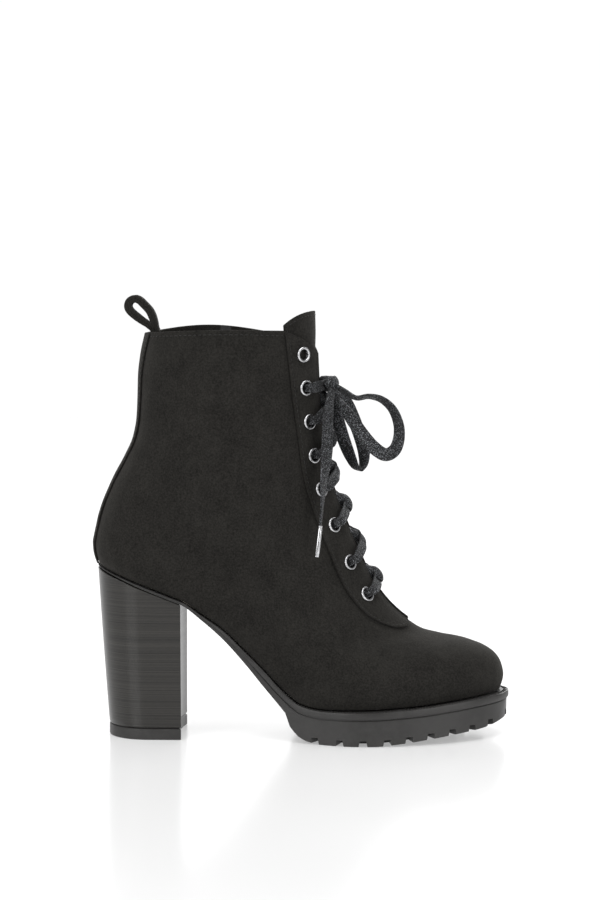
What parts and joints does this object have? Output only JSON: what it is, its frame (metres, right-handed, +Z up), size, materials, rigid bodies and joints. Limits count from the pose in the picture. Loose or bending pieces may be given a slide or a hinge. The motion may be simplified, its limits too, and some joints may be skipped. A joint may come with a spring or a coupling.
{
  "type": "lace up ankle boot",
  "caption": "Suede lace-up ankle boot with a stacked block heel, a lugged platform sole, metal eyelets, a tied lace, a back pull loop and an inner side zip.",
  "frame": {"origin": "centre of the boot's footprint on the floor", "axes": "+X towards the toe, +Y towards the inner side of the foot, +Z up"},
  "size_m": [0.2375, 0.0862, 0.2509],
  "materials": {
    "suede": "napped suede, matte",
    "lining": "soft beige lining",
    "rubber": "semi-matte",
    "stacked_heel": "stacked-leather look with fine lines, polished",
    "lace": "flat woven lace with a silver glitter",
    "zip_tape": "coil zip, matte",
    "nickel": "polished nickel"
  },
  "bodies": {
    "boot": {"aglet_inner": "nickel", "aglet_outer": "nickel", "backstay": "suede", "eyelet_lateral_1": "nickel", "eyelet_lateral_2": "nickel", "eyelet_lateral_3": "nickel", "eyelet_lateral_4": "nickel", "eyelet_lateral_5": "nickel", "eyelet_lateral_6": "nickel", "eyelet_lateral_7": "nickel", "eyelet_lateral_8": "nickel", "eyelet_medial_1": "nickel", "eyelet_medial_2": "nickel", "eyelet_medial_3": "nickel", "eyelet_medial_4": "nickel", "eyelet_medial_5": "nickel", "eyelet_medial_6": "nickel", "eyelet_medial_7": "nickel", "eyelet_medial_8": "nickel", "eyestay_lateral": "suede", "eyestay_medial": "suede", "heel_block": "stacked_heel", "heel_top_piece": "rubber", "insole": "lining", "lace_crossing_1": "lace", "lace_crossing_2": "lace", "lace_crossing_3": "lace", "lace_crossing_4": "lace", "lace_crossing_5": "lace", "lace_crossing_6": "lace", "lace_end_inner": "lace", "lace_end_outer": "lace", "lace_knot": "lace", "lace_loop_inner": "lace", "lace_loop_outer": "lace", "lace_run_inner": "lace", "lace_run_outer": "lace", "outsole": "rubber", "pull_loop": "suede", "tongue": "suede", "upper": "suede", "zip_chain": "zip_tape", "zip_slider": "nickel"},
    "pull_tab": {"zip_pull_tab": "nickel"}
  },
  "joints": [
    {"name": "pull_tab_hinge", "type": "hinge", "parent": "boot", "child": "pull_tab", "pos_m": [-0.04575, 0.03802, 0.21629], "axis": [0.9984, 0.021, -0.052], "range_deg": [0, 150]}
  ]
}
